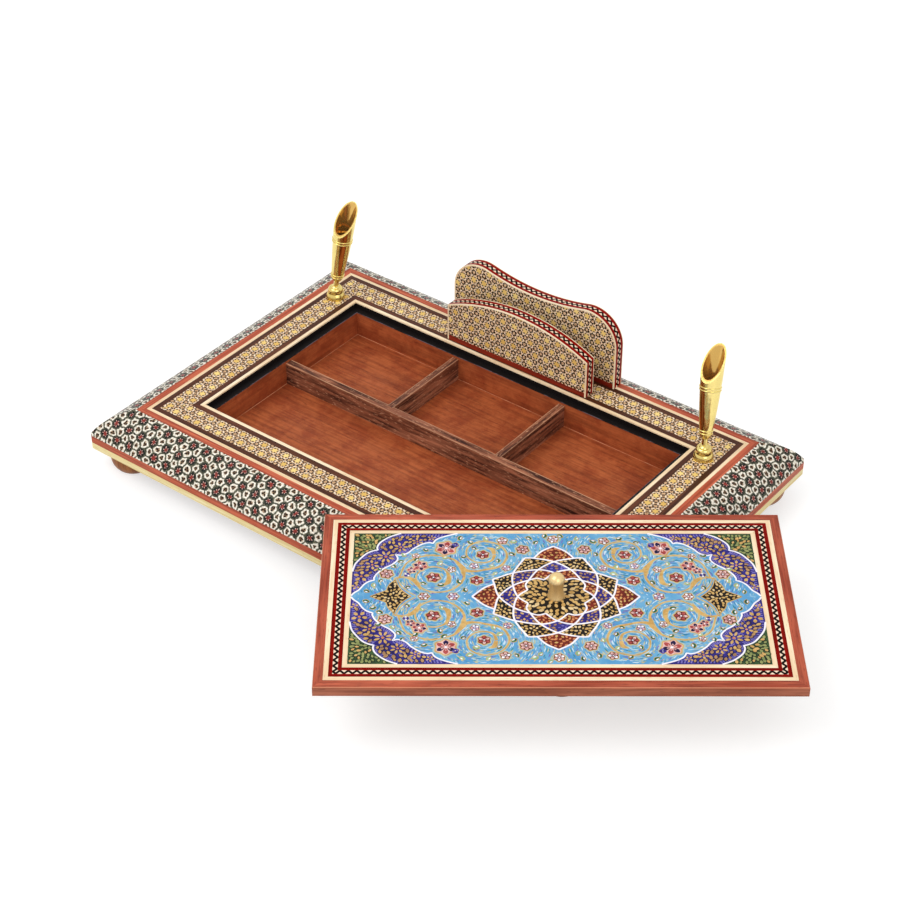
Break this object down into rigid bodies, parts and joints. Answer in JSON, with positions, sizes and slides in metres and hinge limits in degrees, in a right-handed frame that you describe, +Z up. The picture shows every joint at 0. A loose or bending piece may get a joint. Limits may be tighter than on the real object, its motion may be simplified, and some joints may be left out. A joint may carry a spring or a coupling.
{
  "type": "inlaid desk pen box",
  "caption": "Shallow inlaid wooden desk box on bun feet, with compartments, a lift-off painted lid, a letter rack and tilting brass pen holders.",
  "frame": {"origin": "centre of the bottom board's underside; the feet reach 16.4 mm below it", "axes": "+X along the long side, +Y from the front towards the letter rack, +Z up"},
  "size_m": [0.5273, 0.3901, 0.1219],
  "materials": {
    "ivory": "cream line inlay, polished",
    "brown_wood": "dark brown line inlay, polished",
    "yellow_mosaic": "star mosaic of yellow, brown, white and black sticks, polished",
    "green_mosaic": "star mosaic of dark green, red and white sticks, polished",
    "red_wood": "reddish wood, polished",
    "carcass_wood": "plain wood",
    "lining_wood": "reddish brown wood, black on the ledge",
    "divider_wood": "dark brown wood with worn upper edges",
    "foot_wood": "turned light brown wood",
    "brass": "polished",
    "chain_inlay": "black and white chain line, polished",
    "dark_red_line": "dark red line inlay, polished",
    "painted_panel": "blue field painted with a medallion and corners, glossy"
  },
  "bodies": {
    "base": {"bottom_board": "lining_wood", "brown_strip_inner": "brown_wood", "brown_strip_outer": "brown_wood", "edge_band": "red_wood", "foot_back_left": "foot_wood", "foot_back_right": "foot_wood", "foot_front_left": "foot_wood", "foot_front_right": "foot_wood", "ivory_line_inner": "ivory", "ivory_line_outer": "ivory", "lining_back": "lining_wood", "lining_front": "lining_wood", "lining_left": "lining_wood", "lining_right": "lining_wood", "long_divider": "divider_wood", "lower_edging": "ivory", "moulding_back": "carcass_wood", "moulding_front": "carcass_wood", "moulding_left": "carcass_wood", "moulding_right": "carcass_wood", "pen_socket_left": "brass", "pen_socket_right": "brass", "rack_dowels": "carcass_wood", "rack_front_core": "carcass_wood", "rack_front_edging": "chain_inlay", "rack_front_mosaic_back": "yellow_mosaic", "rack_front_mosaic_front": "yellow_mosaic", "rack_front_plinth": "red_wood", "rack_rear_core": "carcass_wood", "rack_rear_edging": "chain_inlay", "rack_rear_mosaic_back": "yellow_mosaic", "rack_rear_mosaic_front": "yellow_mosaic", "rack_rear_plinth": "red_wood", "rim_band": "red_wood", "short_divider_left": "divider_wood", "short_divider_right": "divider_wood", "slope_mosaic_back": "green_mosaic", "slope_mosaic_front": "green_mosaic", "slope_mosaic_left": "green_mosaic", "slope_mosaic_right": "green_mosaic", "top_mosaic": "yellow_mosaic"},
    "lid": {"knob": "brass", "knob_screw": "brass", "lid_board": "carcass_wood", "lid_chain": "chain_inlay", "lid_frame": "red_wood", "lid_ivory_inner": "ivory", "lid_ivory_outer": "ivory", "lid_painted_panel": "painted_panel", "lid_red_inner": "dark_red_line", "lid_red_outer": "dark_red_line"},
    "holder_left": {"pen_ball_left": "brass", "pen_funnel_left": "brass"},
    "holder_right": {"pen_ball_right": "brass", "pen_funnel_right": "brass"},
    "ring_left": {"pen_ring_left": "brass"},
    "ring_right": {"pen_ring_right": "brass"}
  },
  "joints": [
    {"name": "lid_lift", "type": "slide", "parent": "base", "child": "lid", "axis": [0, 0, 1], "range_m": [0, 0.12]},
    {"name": "pen_turn_left", "type": "hinge", "parent": "base", "child": "ring_left", "pos_m": [-0.15995, 0.0765, 0.0355], "axis": [0, 0, 1], "continuous": true},
    {"name": "pen_tilt_left", "type": "hinge", "parent": "ring_left", "child": "holder_left", "pos_m": [-0.15995, 0.0765, 0.0355], "axis": [0.5736, -0.8192, 0], "range_deg": [-15.4, 32.6]},
    {"name": "pen_turn_right", "type": "hinge", "parent": "base", "child": "ring_right", "pos_m": [0.15615, 0.0765, 0.0355], "axis": [0, 0, 1], "continuous": true},
    {"name": "pen_tilt_right", "type": "hinge", "parent": "ring_right", "child": "holder_right", "pos_m": [0.15615, 0.0765, 0.0355], "axis": [0.9003, 0.4352, 0], "range_deg": [-6.4, 41.6]}
  ]
}
